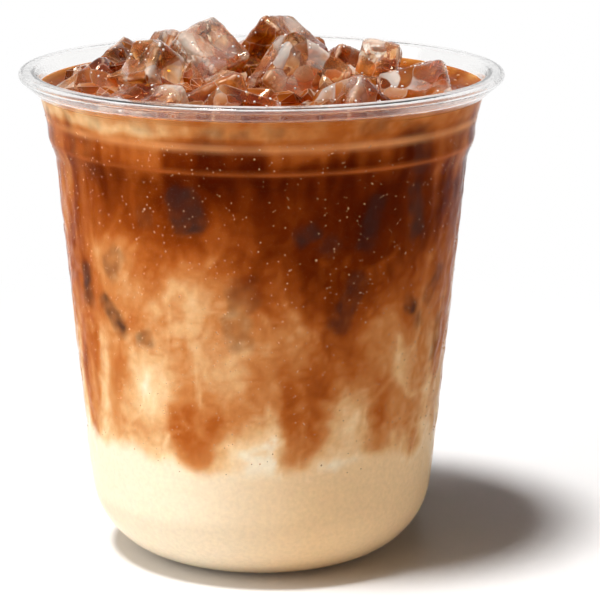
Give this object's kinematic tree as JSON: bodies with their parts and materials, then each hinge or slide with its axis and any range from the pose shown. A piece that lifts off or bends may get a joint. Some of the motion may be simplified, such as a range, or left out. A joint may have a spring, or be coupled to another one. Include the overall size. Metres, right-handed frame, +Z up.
{
  "type": "iced milk coffee in a clear plastic cup",
  "caption": "Clear plastic cup with a rolled lip and rounded foot, full of layered iced milk coffee with a heap of ice standing above the lip.",
  "frame": {"origin": "middle of the cup's flat foot, on the surface it stands on", "axes": "+Z up along the cup's axis; -Y is the front"},
  "size_m": [0.098, 0.098, 0.1093],
  "materials": {
    "clear_plastic": "clear, glossy",
    "milk": "smooth liquid",
    "milk_coffee": "smooth liquid, swirled",
    "coffee": "glossy liquid",
    "ice": "clear, wet"
  },
  "bodies": {
    "root": {"cup": "clear_plastic", "milk_layer": "milk", "swirl_layer": "milk_coffee", "coffee_layer": "coffee", "ice_01": "ice", "ice_02": "ice", "ice_03": "ice", "ice_04": "ice", "ice_05": "ice", "ice_06": "ice", "ice_07": "ice", "ice_08": "ice", "ice_09": "ice", "ice_10": "ice", "ice_11": "ice", "ice_12": "ice", "ice_13": "ice", "ice_14": "ice", "ice_15": "ice", "ice_16": "ice", "ice_17": "ice"}
  },
  "joints": []
}
